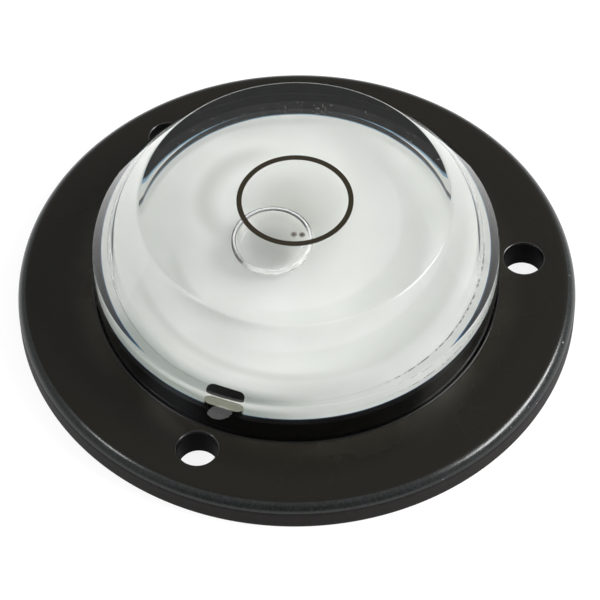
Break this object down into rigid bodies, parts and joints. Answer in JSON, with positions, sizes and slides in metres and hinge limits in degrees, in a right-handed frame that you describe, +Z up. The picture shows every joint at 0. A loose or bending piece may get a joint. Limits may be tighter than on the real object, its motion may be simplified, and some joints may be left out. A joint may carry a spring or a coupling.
{
  "type": "bullseye level",
  "caption": "Round bullseye spirit level in a flat black flange with screw holes, with a thick clear domed vial and a target ring, for levelling a surface both ways at once.",
  "frame": {"origin": "middle of the flange's underside, on the surface that the level is fixed to", "axes": "+Z up out of that surface through the vial's top; +X to the right as the picture shows it, 4.6 degrees short of the first screw hole; -Y towards the camera"},
  "size_m": [0.0602, 0.0602, 0.0164],
  "materials": {
    "black_plastic": "glossy moulded black ABS, scuffed on the rounded edge",
    "white_plastic": "moulded off-white plastic, a little grey-green under the spirit",
    "clear_acrylic": "polished clear acrylic",
    "spirit": "clear colourless level spirit",
    "black_ink": "dark paint in the target groove",
    "black_rubber": "matt black rubber"
  },
  "bodies": {
    "root": {"mounting_flange": "black_plastic", "vial_base": "white_plastic", "vial_cap": "clear_acrylic", "spirit_fill": "spirit", "target_ring": "black_ink", "filler_plug": "black_rubber"}
  },
  "joints": []
}
